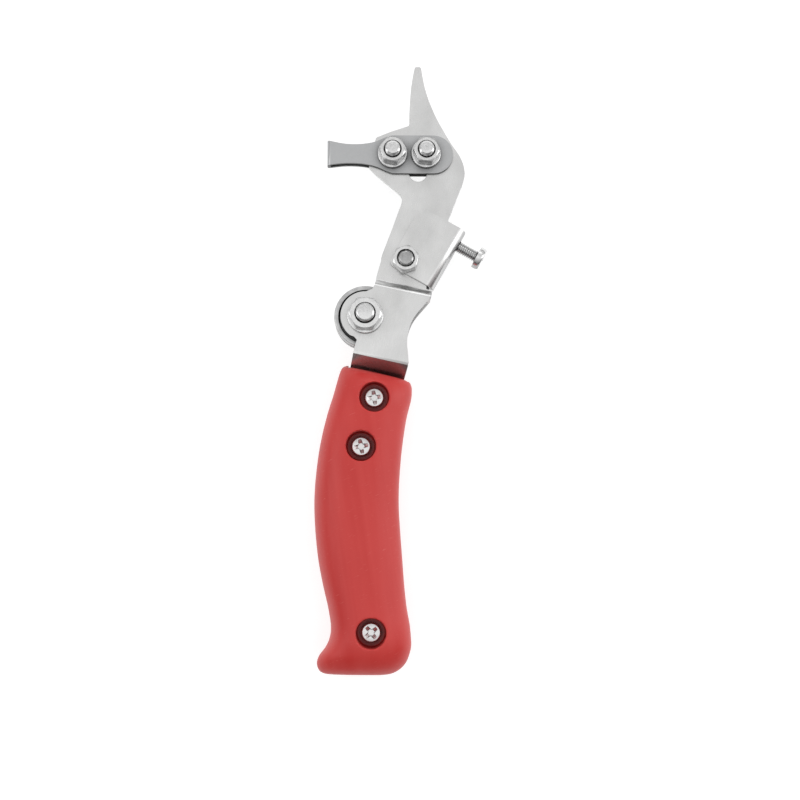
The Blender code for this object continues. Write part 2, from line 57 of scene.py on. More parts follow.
M5, M6 = 5.0, 6.0                       # thread diameters of the blade, pivot and axle bolts
FLATS = {M5: 8.0, M6: 10.0}             # across the flats of nuts and heads
PITCH = {M5: 0.8, M6: 1.0}
HEAD_HEIGHT = {M5: 3.5, M6: 3.8}
BORE_ROOM = 0.2                         # a washer's bore over its bolt's diameter
NUT_TURNS = {"left": 48.0, "right": 54.0, "pivot": 17.0, "axle": 57.0}
HANDLE_SCREW_TURNS = {"upper": 10.0, "middle": 12.0, "lower": 40.0}
PLATE_EDGE, BLADE_EDGE = 0.18, 0.12     # how far the sheet pieces' edges are broken
EDGE_ANGLE = 28.0                       # edges sharper than this are broken
VOXEL = 0.32                            # grain of the handle's remeshed skin

BODY_OF = {}
for body_name, members in frame["record"]["behaviour"]["bodies"].items():
    for member in members:
        BODY_OF[member] = body_name
SLOT_OF = {part["node"]: part["material_slot"] for part in frame["record"]["subparts"]}


# ---------------------------------------------------------------- frame and placing
def centre_of(node):
    low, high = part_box(node)
    return (low + high) * (0.5 / MM)


def top_of(node):
    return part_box(node)[1].z / MM


def bottom_of(node):
    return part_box(node)[0].z / MM


def place(node, mesh, looks, at=(0.0, 0.0, 0.0), turn=None, smooth=35.0, finish=None):
    """Put a mesh made in millimetres in the frame, in the place of a CAD node.

    smooth is the angle in degrees past which an edge stays sharp. finish names a
    material other than the slot's own.
    """
    matrix = Matrix.Translation(Vector(at))
    if turn is not None:
        matrix = matrix @ turn
    mesh.transform(Matrix.Scale(MM, 4) @ matrix)
    mesh.shade_smooth()
    mesh.set_sharp_from_angle(angle=math.radians(smooth))
    if SLOT_OF[node] in ("stainless_plate", "blade_steel"):
        level_flats(mesh)
    mesh.materials.clear()
    mesh.materials.append(looks[finish or SLOT_OF[node]])
    mesh.name = node + "_mesh"
    piece = bpy.data.objects.new(node + "_fine", mesh)
    bpy.context.scene.collection.objects.link(piece)
    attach(piece, BODY_OF[node])
    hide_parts(node)


# ---------------------------------------------------------------- mesh helpers
def level_flats(mesh):
    """Flat plate faces shade flat, and the edges that round them off start from the same normal."""
    level = {}
    for face in mesh.polygons:
        if abs(face.normal.z) > 0.9999:
            for vertex in face.vertices:
                level.setdefault(vertex, []).append(face.normal.copy())
    normals = [corner.vector.copy() for corner in mesh.corner_normals]
    for face in mesh.polygons:
        for corner in face.loop_indices:
            near = [normal for normal in level.get(mesh.loops[corner].vertex_index, ())
                    if normal.dot(face.normal) > 0.8]
            if near:
                normals[corner] = near[0]
    mesh.normals_split_custom_set(normals)


def to_mesh(made):
    """Close a bmesh off as a mesh whose faces point outwards."""
    bmesh.ops.recalc_face_normals(made, faces=made.faces)
    mesh = bpy.data.meshes.new("work")
    made.to_mesh(mesh)
    made.free()
    return mesh


def work_object(mesh):
    item = bpy.data.objects.new("work", mesh)
    bpy.context.scene.collection.objects.link(item)
    return item


def evaluated(item, *helpers):
    """The mesh that the object's modifiers give; the object and its helpers are removed."""
    shown = item.evaluated_get(bpy.context.evaluated_depsgraph_get())
    mesh = bpy.data.meshes.new_from_object(shown)
    for unused in (item, *helpers):
        bpy.data.objects.remove(unused, do_unlink=True)
    return mesh


def carve(mesh, cutters):
    """Take the cutters away from a mesh."""
    item = work_object(mesh)
    tools = [work_object(tool) for tool in cutters]
    for tool in tools:
        cut = item.modifiers.new("cut", "BOOLEAN")
        cut.operation = "DIFFERENCE"
        cut.solver = "EXACT"
        cut.object = tool
    return evaluated(item, *tools)


def bevelled(mesh, width):
    """Break the sharp edges of a mesh."""
    item = work_object(mesh)
    edge = item.modifiers.new("edge", "BEVEL")
    edge.width = width
    edge.segments = 2
    edge.limit_method = "ANGLE"
    edge.angle_limit = math.radians(EDGE_ANGLE)
    edge.use_clamp_overlap = True
    return evaluated(item)


def cad_copy(node):
    """A copy of a CAD node's mesh, in millimetres, with its flat faces whole again."""
    made = bmesh.new()
    made.from_mesh(frame["nodes"][node].data)
    made.transform(Matrix.Scale(1.0 / MM, 4))
    bmesh.ops.remove_doubles(made, verts=made.verts, dist=0.002)
    bmesh.ops.dissolve_limit(
        made, angle_limit=math.radians(0.6), verts=made.verts, edges=made.edges)
    return to_mesh(made)


def smooth_curve(points, steps):
    """Catmull-Rom curve through the points, with `steps` pieces between each two."""
    result = []
    last = len(points) - 1
    for index in range(last):
        around = [points[min(max(index + shift, 0), last)] for shift in (-1, 0, 1, 2)]
        for step in range(steps):
            share = step / steps
            spot = []
            for a, b, c, d in zip(*around):
                cubic = (-a + 3.0 * b - 3.0 * c + d) * share ** 3
                square = (2.0 * a - 5.0 * b + 4.0 * c - d) * share ** 2
                spot.append(0.5 * (2.0 * b + (c - a) * share + square + cubic))
            result.append(tuple(spot))
    result.append(tuple(points[-1]))
    return result


def prism(outline, low, high):
    """An outline raised from one height to another."""
    made = bmesh.new()
    base = made.faces.new([made.verts.new((x, y, low)) for x, y in outline])
    grown = bmesh.ops.extrude_face_region(made, geom=[base])
    lifted = [part for part in grown["geom"] if isinstance(part, bmesh.types.BMVert)]
    bmesh.ops.translate(made, verts=lifted, vec=(0.0, 0.0, high - low))
    return to_mesh(made)


def turned(stations, sides=72, ring=False):
    """Turn stations of (reach, height) round Z.

    A reach is a radius, or a function of the angle for hexagons and threads.
    A closed ring joins its last station to its first.
    """
    made = bmesh.new()
    loops = []
    for reach, height in stations:
        if reach == 0.0:
            loops.append([made.verts.new((0.0, 0.0, height))])
            continue
        loop = []
        for side in range(sides):
            angle = math.tau * side / sides
            radius = reach(angle) if callable(reach) else reach
            x, y = radius * math.cos(angle), radius * math.sin(angle)
            loop.append(made.verts.new((x, y, height)))
        loops.append(loop)
    pairs = list(zip(loops, loops[1:]))
    if ring:
        pairs.append((loops[-1], loops[0]))
    for lower, upper in pairs:
        for side in range(sides):
            follow = (side + 1) % sides
            if len(lower) == 1:
                made.faces.new((lower[0], upper[side], upper[follow]))
            elif len(upper) == 1:
                made.faces.new((lower[side], lower[follow], upper[0]))
            else:
                made.faces.new((lower[side], lower[follow], upper[follow], upper[side]))
    return to_mesh(made)


def fillet(corner, radius, start, end, steps=4):
    """Stations on a quarter round about `corner`, from angle start to end in degrees."""
    stations = []
    for step in range(steps + 1):
        angle = math.radians(start + (end - start) * step / steps)
        out, up = radius * math.cos(angle), radius * math.sin(angle)
        stations.append((corner[0] + out, corner[1] + up))
    return stations


# ---------------------------------------------------------------- fastener shapes
def hexagon(flats, cone, phase=0.0):
    """Reach of a hexagon with softened corners, cut by a round cone's radius."""
    sector = math.pi / 3.0
    corner = flats / math.sqrt(3.0) - 0.10

    def reach(angle):
        offset = (angle - phase + 0.5 * sector) % sector - 0.5 * sector
        return min(0.5 * flats / math.cos(offset), corner, cone)

    return reach


def hexagon_stations(flats, low, high, phase, chamfer_high=True):
    """Side of a nut or head, with a 30 degree cone cut over its corners."""
    corner = flats / math.sqrt(3.0)
    flat = 0.5 * flats
    rise = (corner - flat + 0.1) * math.tan(math.radians(30.0))
    steps = 5
    stations = []
    for step in range(steps + 1):
        share = step / steps
        cone = flat - 0.1 + (corner - flat + 0.1) * share
        stations.append((hexagon(flats, cone, phase), low + rise * share))
    if not chamfer_high:
        return stations + [(hexagon(flats, corner, phase), high)]
    for step in range(steps + 1):
        share = 1.0 - step / steps
        cone = flat - 0.1 + (corner - flat + 0.1) * share
        stations.append((hexagon(flats, cone, phase), high - rise * share))
    return stations


def thread_stations(outer, pitch, low, high, chamfer=0.0, run_out=0.0):
    """A right-hand thread between two heights, with a chamfered end and a faded start."""
    depth = 0.61 * pitch
    count = max(2, round((high - low) / (pitch / 8.0)))
    stations = []
    for step in range(count + 1):
        height = low + (high - low) * step / count
        cap = outer if chamfer == 0.0 else min(outer, outer - chamfer + (high - height))
        fade = 1.0 if run_out == 0.0 else min(1.0, (height - low) / run_out)

        def reach(angle, height=height, cap=cap, fade=fade):
            phase = (height / pitch - angle / math.tau) % 1.0
            flank = min(1.0, max(0.0, 1.35 * abs(2.0 * phase - 1.0) - 0.15))
            return min(cap, outer - depth * flank * fade)

        stations.append((reach, height))
    return stations


def nut_mesh(flats, height, diameter, phase):
    """A nut with its bore countersunk at both ends."""
    bore = 0.5 * diameter + 0.1
    stations = [(bore, 0.45), (bore + 0.45, 0.0)]
    stations += hexagon_stations(flats, 0.0, height, phase)
    stations += [(bore + 0.45, height), (bore, height - 0.45)]
    return turned(stations, 96, ring=True)


def washer_mesh(outer, bore, thickness):
    """A flat washer with rounded outer edges."""
    edge = 0.28
    stations = [(bore, 0.1), (bore + 0.1, 0.0)]
    stations += fillet((outer - edge, edge), edge, -90.0, 0.0)
    stations += fillet((outer - edge, thickness - edge), edge, 0.0, 90.0)
    stations += [(bore + 0.12, thickness), (bore, thickness - 0.12)]
    return turned(stations, 96, ring=True)


def bolt_mesh(diameter, pitch, flats, head_low, head_high, thread_low, end):
    """Hex-head bolt: its head below, its chamfered end up."""
    radius = 0.5 * diameter
    stations = [(0.0, head_low + 0.15), (0.36 * flats, head_low + 0.15), (0.39 * flats, head_low)]
    stations += hexagon_stations(flats, head_low, head_high, 0.0, chamfer_high=False)
    stations += [(radius, head_high), (radius, thread_low)]
    stations += thread_stations(radius, pitch, thread_low, end - 0.15, 0.30, run_out=0.5)
    stations += [(radius - 0.50, end - 0.03), (radius - 0.65, end), (0.0, end)]
    return turned(stations, 72)


def cross_cutter(across, arm, top, depth, phase):
    """Driver recess: four wings that narrow to a small floor."""
    made = bmesh.new()
    floor, over = 0.42, 0.5             # the floor's share of the mouth, and reach past the top
    loops = []
    for height, shrink in ((top - depth, floor), (top + over, 1.0 + over * (1.0 - floor) / depth)):
        long, short = 0.5 * across * shrink, 0.5 * arm * (0.6 + 0.4 * shrink)
        corners = []
        for quarter in range(4):
            turn = Matrix.Rotation(phase + 0.5 * math.pi * quarter, 2)
            wing = ((long, -0.8 * short), (long, 0.8 * short), (1.25 * short, 1.25 * short))
            for corner in wing:
                spoke = turn @ Vector(corner)
                corners.append(made.verts.new((spoke.x, spoke.y, height)))
        loops.append(corners)
    made.faces.new(loops[0])
    made.faces.new(loops[1])
    count = len(loops[0])
    for index in range(count):
        follow = (index + 1) % count
        made.faces.new((loops[0][index], loops[0][follow], loops[1][follow], loops[1][index]))
    return to_mesh(made)


def pan_head(radius, low, high):
    """Stations of a pan head: a rounded rim round a nearly flat top."""
    rise = high - low
    soft = 0.15 * radius
    stations = [(radius - 0.12, low), (radius, low + 0.12)]
    for step in range(7):
        angle = math.radians(15.0 * step)
        out = radius - soft + soft * math.cos(angle)
        stations.append((out, high - 0.12 - (0.5 * rise) * (1.0 - math.sin(angle))))
    stations += [(0.5 * radius, high - 0.03), (0.0, high)]
    return stations


# ---------------------------------------------------------------- pieces
def add_fasteners(looks):
    """Nuts, washers and bolts, each centred on its CAD node."""
    for side in ("left", "right"):
        add_nut("blade_nut_" + side, "blade_bolt_" + side, M5, NUT_TURNS[side], looks)
        for face in ("front", "rear"):
            add_washer("blade_washer_%s_%s" % (face, side), M5, looks)
    add_nut("pivot_nut", "pivot_bolt", M5, NUT_TURNS["pivot"], looks)
    add_nut("axle_nut", "axle_bolt", M6, NUT_TURNS["axle"], looks)
    add_washer("axle_washer", M6, looks)


def add_nut(nut, bolt, diameter, degrees, looks):
    """A nut and the bolt through it, whose thread starts inside the nut."""
    flats = FLATS[diameter]
    at = centre_of(nut)
    seat, top = bottom_of(nut), top_of(nut)
    mesh = nut_mesh(flats, top - seat, diameter, math.radians(degrees + 30.0))
    place(nut, mesh, looks, (at.x, at.y, seat), smooth=24.0)
    low, end = bottom_of(bolt), top_of(bolt)
    head = low + HEAD_HEIGHT[diameter]
    mesh = bolt_mesh(diameter, PITCH[diameter], flats, low, head, top - 1.2, end)
    finish = "dull_plate" if bolt == "pivot_bolt" else None
    place(bolt, mesh, looks, (at.x, at.y, 0.0), smooth=24.0, finish=finish)


def add_washer(node, diameter, looks):
    low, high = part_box(node)
    outer = 0.5 * (high.x - low.x) / MM
    mesh = washer_mesh(outer, 0.5 * (diameter + BORE_ROOM), (high.z - low.z) / MM)
    at = centre_of(node)
    place(node, mesh, looks, (at.x, at.y, low.z / MM))


def add_adjusting_screw(looks):
    """Pan-head M4 screw along its slide joint, measured from its CAD solid."""
    joint = [item for item in frame["joints"] if item["name"] == "adjuster_travel"][0]
    out = -Vector(joint["axis"]).normalized()
    points = [vert.co / MM for vert in frame["nodes"]["adjusting_screw"].data.vertices]
    reach = [point.dot(out) for point in points]
    far, near = max(reach), min(reach)
    tip = [point for point, along in zip(points, reach) if along < near + 0.01]
    tip_centre = sum(tip, Vector()) / len(tip)
    length = far - near
    head = length - 2.7
    stations = [(0.0, 0.0), (1.1, 0.0), (1.55, 0.35)]
    stations += thread_stations(2.0, 0.7, 0.5, head - 0.15, run_out=0.3)
    stations += [(2.0, head - 0.05)] + pan_head(3.85, head, length - 0.25)
    recess = cross_cutter(4.6, 1.2, length, 1.7, math.radians(20.0))
    mesh = carve(turned(stations, 72), [recess])
    turn = out.to_track_quat("Z", "Y").to_matrix().to_4x4()
    place("adjusting_screw", mesh, looks, tip_centre, turn, smooth=30.0)


def add_handle_screws(looks):
    """Self-tapping cross-head screws."""
    for label, degrees in HANDLE_SCREW_TURNS.items():
        node = "handle_screw_" + label
        at = centre_of(node)
        low, high = bottom_of(node), top_of(node)
        head_radius = 0.5 * (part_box(node)[1].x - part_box(node)[0].x) / MM
        under = high - 2.1
        stations = [(0.0, low), (0.5, low), (1.2, low + 1.4)]
        stations += thread_stations(1.75, 1.25, low + 1.6, under - 3.0, run_out=0.4)
        stations += [(1.75, under - 2.8), (1.75, under)] + pan_head(head_radius, under, high)
        recess = cross_cutter(5.0, 1.30, high, 0.9, math.radians(degrees))
        mesh = carve(turned(stations, 64), [recess])
        place(node, mesh, looks, (at.x, at.y, 0.0), smooth=30.0)


def add_roller(looks):
    """Two rounded flanges with a groove between them, dished round the hub."""
    low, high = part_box("roller")
    outer = 0.5 * (high.x - low.x) / MM
    half = 0.5 * (high.z - low.z) / MM
    at = centre_of("roller")
    bore, lip, groove, soft = 4.6, 1.9, 2.2, 0.45
    dish, rim = 1.8, 8.9
    upper = [(bore, half - 0.1), (5.4, half - 0.1), (5.6, half - 0.3)]
    upper += [(5.7, half - dish + 0.3)]
    upper += [(6.0, half - dish), (rim - 0.3, half - dish), (rim, half - dish + 0.3)]
    upper += fillet((rim + 0.2, half - 0.2), 0.2, 180.0, 90.0, 3)
    upper += fillet((outer - soft, half - soft), soft, 90.0, 0.0, 6)
    upper += fillet((outer - 0.25, half - lip + 0.25), 0.25, 0.0, -90.0, 4)
    upper += [(outer - groove, half - lip - 0.25)]
    lower = [(radius, -height) for radius, height in reversed(upper)]
    place("roller", turned(upper + lower, 144, ring=True), looks, at, smooth=30.0)
    at = centre_of("roller_bush")
    low, high = bottom_of("roller_bush") - at.z, top_of("roller_bush") - at.z
    sleeve = [(3.1, low + 0.2), (3.3, low), (4.3, low), (4.5, low + 0.2)]
    sleeve += [(4.5, high - 0.2), (4.3, high), (3.3, high), (3.1, high - 0.2)]
    place("roller_bush", turned(sleeve, 72, ring=True), looks, at)


def add_plates(looks):
    """Sheet pieces: the CAD shape with its edges broken and its flat faces shaded flat."""
    for node in ("head_plate", "bracket_front", "bracket_rear", "adjuster_clip", "u_blade"):
        width = BLADE_EDGE if node == "u_blade" else PLATE_EDGE
        place(node, bevelled(cad_copy(node), width), looks, smooth=38.0)


# Stations up the handle: left x, left y, right x, right y, share of full height.
HANDLE_STATIONS = [
    (-7.6, -45.5, 7.6, -45.8, 0.0),
    (-11.0, -44.9, 11.6, -45.1, 0.40),
    (-12.5, -43.7, 14.4, -43.6, 0.60),
    (-13.1, -41.6, 16.3, -41.5, 0.76),
    (-12.4, -39.3, 17.4, -38.9, 0.89),
    (-10.5, -36.8, 18.0, -36.2, 0.965),
    (-9.1, -34.0, 17.9, -33.1, 1.0),
    (-8.5, -30.0, 17.5, -29.1, 1.0),
    (-9.4, -23.8, 16.5, -23.5, 1.0),
    (-11.2, -16.1, 15.7, -16.1, 1.0),
    (-12.8, -7.7, 15.1, -8.1, 1.0),
    (-13.8, 1.5, 14.4, 1.1, 1.0),
    (-14.2, 11.2, 13.9, 10.7, 1.0),
    (-13.6, 21.1, 14.2, 20.1, 1.0),
    (-12.2, 30.9, 15.1, 29.8, 1.0),
    (-10.1, 39.9, 16.5, 38.9, 0.99),
    (-8.0, 46.8, 18.0, 44.9, 0.96),
    (-6.8, 51.2, 18.3, 48.3, 0.89),
    (-5.9, 54.2, 18.0, 50.2, 0.76),
    (-5.0, 56.0, 17.2, 51.3, 0.56),
    (-3.3, 56.9, 15.5, 52.1, 0.0),
]
# The front shell's height, how square its section is, and how far its top leans to -X.
CROWN, CROWN_SHAPE, CROWN_SKEW = 11.6, 2.35, 2.0
PARTING = 0.125                         # half the gap between the two shells


def handle_shell(side, limit, columns=56):
    """One crowned half of the handle; its parting face is flat."""
    made = bmesh.new()
    rows = []
    for left_x, left_y, right_x, right_y, share in smooth_curve(HANDLE_STATIONS, 6):
        left, right = Vector((left_x, left_y)), Vector((right_x, right_y))
        middle, reach = 0.5 * (left + right), 0.5 * (right - left)
        row = []
        for column in range(columns + 1):
            angle = math.pi * (1.0 - column / columns)
            cosine = math.cos(angle)
            across = math.copysign(abs(cosine) ** (2.0 / CROWN_SHAPE), cosine)
            lift = max(math.sin(angle), 0.0) ** (2.0 / CROWN_SHAPE) * min(max(share, 0.0), 1.0)
            spot = middle + reach * across
            height = min(CROWN * lift, limit)
            row.append((spot.x - CROWN_SKEW * lift ** 4, spot.y, side * (PARTING + height)))
        rows.append([made.verts.new(spot) for spot in row])
    for lower, upper in zip(rows, rows[1:]):
        for column in range(columns):
            made.faces.new((lower[column], lower[column + 1], upper[column + 1], upper[column]))
    left_edge = [row[0] for row in rows[1:-1]]
    right_edge = [row[-1] for row in rows[1:-1]]
    made.faces.new(rows[0] + right_edge + rows[-1][::-1] + left_edge[::-1])
    return to_mesh(made)


def handle_cutters(front):
    """Tang pocket, its mouth, the hollow in the grip, and the screws' holes."""
    pocket = [
        (-6.9, 19.5), (-7.2, 28.0), (-5.5, 41.9), (-1.9, 59.8),
        (17.6, 59.8), (16.3, 50.8), (13.1, 41.9), (9.3, 30.0), (7.1, 19.5),
    ]
    mouth = [(-3.3, 54.6), (-2.0, 60.5), (18.0, 60.5), (16.9, 50.8)]
    hollow = [(-7.2, -22.9), (12.3, -22.9), (10.3, 12.2), (-10.8, 12.2)]
    cutters = [
        prism(pocket, -1.875, 1.875), prism(mouth, -3.375, 3.375), prism(hollow, -6.5, 6.5),
    ]
    for label in HANDLE_SCREW_TURNS:
        node = "handle_screw_" + label
        at = centre_of(node)
        if front:
            seat = top_of(node) - MID_Z - 2.35
            hole = [(0.0, -1.0), (2.1, -1.0), (2.1, seat)]
            hole += [(4.85, seat), (5.0, 14.0), (0.0, 14.0)]
        else:
            hole = [(0.0, -8.2), (1.85, -8.2), (1.85, 1.0), (0.0, 1.0)]
        mesh = turned(hole, 72)
        mesh.transform(Matrix.Translation((at.x, at.y, 0.0)))
        cutters.append(mesh)
    return cutters


def add_handle(looks):
    """Two shells with soft edges; the rear one is cut off flat where the tool lies."""
    shells = (("handle_front", 1.0, CROWN), ("handle_rear", -1.0, MID_Z - PARTING))
    for node, side, limit in shells:
        mesh = carve(handle_shell(side, limit), handle_cutters(side > 0))
        item = work_object(mesh)
        skin = item.modifiers.new("skin", "REMESH")
        skin.mode = "VOXEL"
        skin.voxel_size = VOXEL
        soft = item.modifiers.new("soft", "SMOOTH")
        soft.factor = 0.5
        soft.iterations = 5
        place(node, evaluated(item), looks, (0.0, 0.0, MID_Z), smooth=70.0)


# ---------------------------------------------------------------- materials
class Nodes:
    """A material with a Principled shader, and short ways to add nodes to it."""

    def __init__(self, name, metallic, **sockets):
        self.material = bpy.data.materials.new(name)
        self.material.use_nodes = True
        self.tree = self.material.node_tree
        self.shader = self.tree.nodes["Principled BSDF"]
        self.shader.inputs["Metallic"].default_value = metallic
        for socket, value in sockets.items():
            self.shader.inputs[socket.replace("_", " ")].default_value = value
        self.where = self.tree.nodes.new("ShaderNodeTexCoord").outputs["Object"]

    def link(self, output, target):
        self.tree.links.new(output, target)

    def noise(self, scale, detail=3.0, rough=0.55, turn=0.0):
        """Noise whose scale, in grains per millimetre, may differ along x, y and z."""
        spread = self.tree.nodes.new("ShaderNodeMapping")
        spread.inputs["Scale"].default_value = [value / MM for value in scale]
        spin = self.tree.nodes.new("ShaderNodeMapping")
        spin.inputs["Rotation"].default_value = (0.0, 0.0, turn)
        self.link(self.where, spin.inputs["Vector"])
        self.link(spin.outputs["Vector"], spread.inputs["Vector"])
        made = self.tree.nodes.new("ShaderNodeTexNoise")
        made.inputs["Scale"].default_value = 1.0
        made.inputs["Detail"].default_value = detail
        made.inputs["Roughness"].default_value = rough
        self.link(spread.outputs["Vector"], made.inputs["Vector"])
        return made.outputs["Fac"]

    def spread(self, value, low, high, start=0.3, end=0.7):
        made = self.tree.nodes.new("ShaderNodeMapRange")
        ends = {"From Min": start, "From Max": end, "To Min": low, "To Max": high}
        for socket, number in ends.items():
            made.inputs[socket].default_value = number
        self.link(value, made.inputs["Value"])
        return made.outputs["Result"]

    def ramp(self, value, stops):
        made = self.tree.nodes.new("ShaderNodeValToRGB")
        line = made.color_ramp
        while len(line.elements) < len(stops):
            line.elements.new(0.5)
        for element, (position, colour) in zip(line.elements, stops):
            element.position = position
            element.color = (*colour, 1.0)
        self.link(value, made.inputs["Fac"])
        return made.outputs["Color"]

    def blend(self, share, under, over):
        made = self.tree.nodes.new("ShaderNodeMix")
        made.data_type = "RGBA"
        sockets = {item.identifier: item for item in made.inputs}
        self.link(share, sockets["Factor_Float"])
        for value, target in ((under, "A_Color"), (over, "B_Color")):
            if isinstance(value, tuple):
                sockets[target].default_value = (*value, 1.0)
            else:
                self.link(value, sockets[target])
        return [item for item in made.outputs if item.identifier == "Result_Color"][0]

    def add(self, first, second, how="ADD"):
        made = self.tree.nodes.new("ShaderNodeMath")
        made.operation = how
        for index, value in enumerate((first, second)):
            if isinstance(value, float):
                made.inputs[index].default_value = value
            else:
                self.link(value, made.inputs[index])
        return made.outputs["Value"]

    def edges(self, low=0.52, high=0.60):
        """About 0 on flat and hollow places and 1 along outward edges."""
        shape = self.tree.nodes.new("ShaderNodeNewGeometry")
        return self.spread(shape.outputs["Pointiness"], 0.0, 1.0, low, high)

    def painted_gap_shade(self, reach, low=0.25, high=0.85):
        """Painted shade from ambient occlusion: 1 in narrow gaps, thread roots and between parts, 0 in the open.
        """
        made = self.tree.nodes.new("ShaderNodeAmbientOcclusion")
        made.samples = 6
        made.inputs["Distance"].default_value = reach * MM
        return self.spread(made.outputs["AO"], 1.0, 0.0, low, high)

    def facing(self, axis, start, end):
        """0 to 1 as the surface turns towards an axis of the object."""
        shape = self.tree.nodes.new("ShaderNodeNewGeometry")
        made = self.tree.nodes.new("ShaderNodeVectorMath")
        made.operation = "DOT_PRODUCT"
        made.inputs[1].default_value = axis
        self.link(shape.outputs["Normal"], made.inputs[0])
        return self.spread(made.outputs["Value"], 0.0, 1.0, start, end)

    def bump(self, height, strength, distance):
        made = self.tree.nodes.new("ShaderNodeBump")
        made.inputs["Strength"].default_value = strength
        made.inputs["Distance"].default_value = distance * MM
        self.link(height, made.inputs["Height"])
        self.link(made.outputs["Normal"], self.shader.inputs["Normal"])

    def colour(self, output):
        self.link(output, self.shader.inputs["Base Color"])

    def roughness(self, output):
        self.link(output, self.shader.inputs["Roughness"])


def sheet_steel():
    """Bright stainless sheet: soft mottling, fine rolling grain up the tool, a few scratches."""
    look = Nodes("stainless_look", 1.0)
    grain = look.noise((9.0, 0.35, 9.0), 4.0, 0.65, math.radians(12.0))
    cloud = look.noise((0.10, 0.07, 0.10), 3.0)
    speck = look.noise((2.6, 2.2, 2.6), 2.0)
    scratch = look.noise((0.25, 14.0, 1.0), 1.0, 0.4, math.radians(33.0))
    base = look.ramp(cloud, [(0.30, (0.66, 0.66, 0.655)), (0.70, (0.80, 0.80, 0.795))])
    base = look.blend(look.spread(grain, 0.0, 0.22), base, (0.55, 0.55, 0.55))
    # Painted reflection: the neck's riser is darkened and tinted red, standing in for the dark end of the handle
    # that it mirrors.
    riser_painted_shade = look.facing((0.14, -0.64, 0.755), 0.86, 0.97)
    base = look.blend(riser_painted_shade, base, (0.40, 0.36, 0.36))
    # Painted shade: slopes that face +Y, such as the neck's crease, are greyed.
    base = look.blend(look.facing((0.15, 0.985, 0.0), 0.30, 0.80), base, (0.62, 0.62, 0.62))
    # Painted shade: sides, bevels and bends that face +X or -X are darkened into dark outlines.
    for side in (1.0, -1.0):
        edge = look.facing((side, 0.0, 0.0), 0.50, 0.90)
        base = look.blend(edge, base, (0.42, 0.42, 0.42))
    # Painted shade: narrow gaps and the plate round the pieces lying on it go nearly black.
    base = look.blend(look.painted_gap_shade(1.0, 0.1, 0.6), base, (0.06, 0.06, 0.06))
    look.colour(base)
    rough = look.spread(grain, 0.24, 0.36)
    rough = look.add(rough, look.spread(scratch, 0.0, 0.10, 0.68, 0.74))
    look.roughness(rough)
    height = look.add(grain, look.add(speck, 0.6, "MULTIPLY"))
    look.bump(height, 0.10, 0.02)
    return look.material


def ground_steel():
    """Darker hardened blade: fine even grain of grinding across the strip."""
    look = Nodes("blade_look", 1.0)
    grain = look.noise((5.0, 5.0, 5.0), 5.0, 0.75)
    lines = look.noise((12.0, 0.5, 8.0), 3.0, 0.6, math.radians(84.0))
    base = look.ramp(grain, [(0.30, (0.43, 0.435, 0.44)), (0.70, (0.56, 0.565, 0.57))])
    # Painted shade: faces turned to -Y and the gap between the fold's strips go nearly black.
    base = look.blend(look.facing((0.0, -1.0, 0.0), 0.30, 0.75), base, (0.12, 0.12, 0.12))
    base = look.blend(look.painted_gap_shade(4.0, 0.35, 0.9), base, (0.03, 0.03, 0.03))
    look.colour(base)
    look.roughness(look.spread(lines, 0.30, 0.46))
    look.bump(look.add(grain, lines), 0.14, 0.02)
    return look.material


def plated_steel(name="hardware_look", tone=1.0):
    """Bright zinc plate on the fasteners: faint spangle and lighter outward edges, with painted shade on faces
    turned to -Y and in gaps.
    """
    look = Nodes(name, 1.0)
    spangle = look.noise((1.6, 1.6, 1.6), 3.0)
    fine = look.noise((7.0, 7.0, 7.0), 2.0)
    dark, light = 0.66 * tone, 0.80 * tone
    base = look.ramp(spangle, [(0.30, (dark, dark, dark)), (0.70, (light, light, light))])
    base = look.blend(look.edges(0.53, 0.64), base, (0.93, 0.93, 0.92))
    # Painted shade: faces turned to -Y and the narrow gaps round each fastener are darkened.
    base = look.blend(look.facing((0.0, -1.0, 0.0), 0.55, 0.95), base, (0.36, 0.36, 0.36))
    base = look.blend(look.painted_gap_shade(1.1, 0.15, 0.75), base, (0.16, 0.16, 0.16))
    look.colour(base)
    look.roughness(look.spread(spangle, 0.20, 0.34))
    look.bump(fine, 0.10, 0.015)
    return look.material


def turned_steel():
    """Turned roller: grey with fine rings left by the tool, and darker handling marks."""
    look = Nodes("roller_look", 1.0)
    rings = look.noise((1.2, 1.2, 14.0), 3.0, 0.6)
    cloud = look.noise((0.5, 0.5, 0.5), 3.0)
    base = look.ramp(cloud, [(0.30, (0.48, 0.48, 0.48)), (0.70, (0.62, 0.62, 0.62))])
    base = look.blend(look.edges(), base, (0.62, 0.62, 0.62))
    # Painted shade: the groove between the flanges and the gap under the ear's edge go nearly black.
    base = look.blend(look.painted_gap_shade(6.0, 0.15, 0.70), base, (0.02, 0.02, 0.02))
    look.colour(base)
    look.roughness(look.spread(rings, 0.28, 0.44))
    look.bump(rings, 0.15, 0.02)
    return look.material


